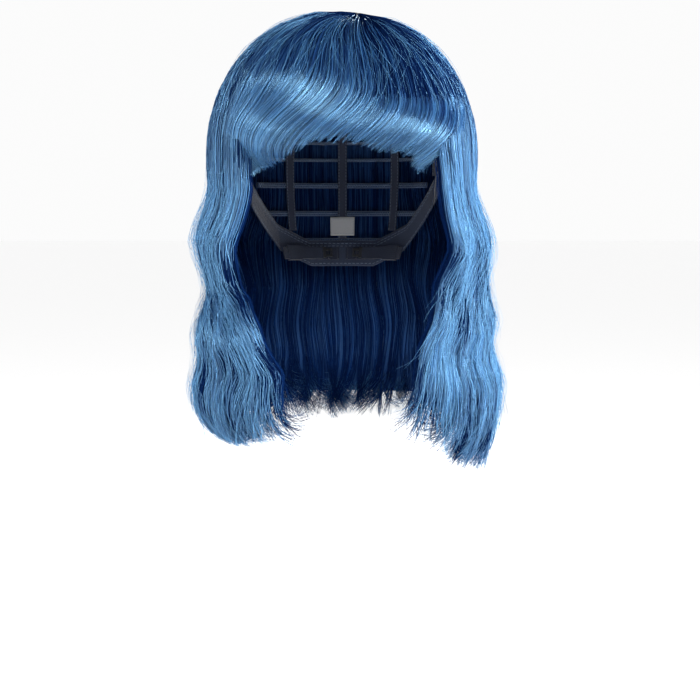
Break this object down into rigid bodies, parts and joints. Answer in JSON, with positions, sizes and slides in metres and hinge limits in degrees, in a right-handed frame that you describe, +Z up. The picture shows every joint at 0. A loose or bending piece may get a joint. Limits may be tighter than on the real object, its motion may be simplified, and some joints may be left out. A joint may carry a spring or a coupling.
{
  "type": "costume wig",
  "caption": "Chin-to-shoulder costume wig in dark blue fibre with a full fringe, on a wefted stretch cap with hooked nape straps and ear tabs.",
  "frame": {"origin": "centre of the head cavity at ear level, where the wearer's head holds the wig", "axes": "+Z up towards the crown, -Y out of the face opening, +X towards the wearer's left (left and right in the names are the wearer's)"},
  "size_m": [0.2115, 0.2227, 0.3207],
  "materials": {
    "hair_crown": "satin",
    "hair_fringe": "satin",
    "hair_curtain": "satin",
    "hair_back": "satin",
    "weft": "matte",
    "net": "matte",
    "tape": "matte",
    "elastic": "matte",
    "skin_top": "matte",
    "label": "matte",
    "plastic": "gloss",
    "stay": "satin"
  },
  "bodies": {
    "cap": {"crown_patch": "skin_top", "crown_net": "net", "forehead_band": "tape", "forehead_lining": "skin_top", "nape_band": "tape", "nape_label": "label", "left_side_band": "tape", "right_side_band": "tape", "left_strap_casing": "elastic", "right_strap_casing": "elastic", "left_hook_loops": "tape", "right_hook_loops": "tape", "rib_1": "elastic", "rib_2": "elastic", "rib_3": "elastic", "rib_4": "elastic", "rib_5": "elastic", "rib_6": "elastic", "rib_7": "elastic", "weft_track_1": "weft", "weft_track_2": "weft", "weft_track_3": "weft", "weft_track_4": "weft", "weft_track_5": "weft", "weft_track_6": "weft", "weft_track_7": "weft", "weft_track_8": "weft", "weft_track_9": "weft", "crown_hair": "hair_crown"},
    "left_tab": {"left_ear_tab": "tape", "left_tab_stay": "stay"},
    "right_tab": {"right_ear_tab": "tape", "right_tab_stay": "stay"},
    "left_adjuster": {"left_strap": "elastic", "left_strap_hook": "plastic"},
    "right_adjuster": {"right_strap": "elastic", "right_strap_hook": "plastic"},
    "fringe": {"fringe_hair": "hair_fringe"},
    "left_curtain": {"left_side_hair": "hair_curtain"},
    "right_curtain": {"right_side_hair": "hair_curtain"},
    "back_left": {"back_left_hair": "hair_back"},
    "back_centre": {"back_centre_hair": "hair_back"},
    "back_right": {"back_right_hair": "hair_back"}
  },
  "joints": [
    {"name": "fringe_lift", "type": "hinge", "parent": "cap", "child": "fringe", "pos_m": [0, -0.083, 0.0515], "axis": [-1, 0, 0], "range_deg": [0, 40]},
    {"name": "left_curtain_swing", "type": "hinge", "parent": "cap", "child": "left_curtain", "pos_m": [0.08, 0, 0.008], "axis": [0, -1, 0], "range_deg": [0, 30]},
    {"name": "right_curtain_swing", "type": "hinge", "parent": "cap", "child": "right_curtain", "pos_m": [-0.08, 0, 0.008], "axis": [0, 1, 0], "range_deg": [0, 30]},
    {"name": "back_left_lift", "type": "hinge", "parent": "cap", "child": "back_left", "pos_m": [0.04696, 0.08082, 0.008], "axis": [0.7402, -0.6724, 0], "range_deg": [0, 30]},
    {"name": "back_centre_lift", "type": "hinge", "parent": "cap", "child": "back_centre", "pos_m": [0, 0.0999, 0.008], "axis": [1, 0, 0], "range_deg": [0, 30]},
    {"name": "back_right_lift", "type": "hinge", "parent": "cap", "child": "back_right", "pos_m": [-0.04696, 0.08082, 0.008], "axis": [0.7402, 0.6724, 0], "range_deg": [0, 30]},
    {"name": "left_tab_bend", "type": "hinge", "parent": "cap", "child": "left_tab", "pos_m": [0.0736, -0.0248, 0.0023], "axis": [0.2079, 0.9782, 0], "range_deg": [0, 15]},
    {"name": "right_tab_bend", "type": "hinge", "parent": "cap", "child": "right_tab", "pos_m": [-0.0736, -0.0248, 0.0023], "axis": [0.2079, -0.9782, 0], "range_deg": [0, 15]},
    {"name": "left_strap_slide", "type": "hinge", "parent": "cap", "child": "left_adjuster", "pos_m": [0, 0.032, -0.066], "axis": [0, 0, 1], "range_deg": [-7.3, 7.3]},
    {"name": "right_strap_slide", "type": "hinge", "parent": "cap", "child": "right_adjuster", "pos_m": [0, 0.032, -0.066], "axis": [0, 0, -1], "range_deg": [-7.3, 7.3]}
  ]
}
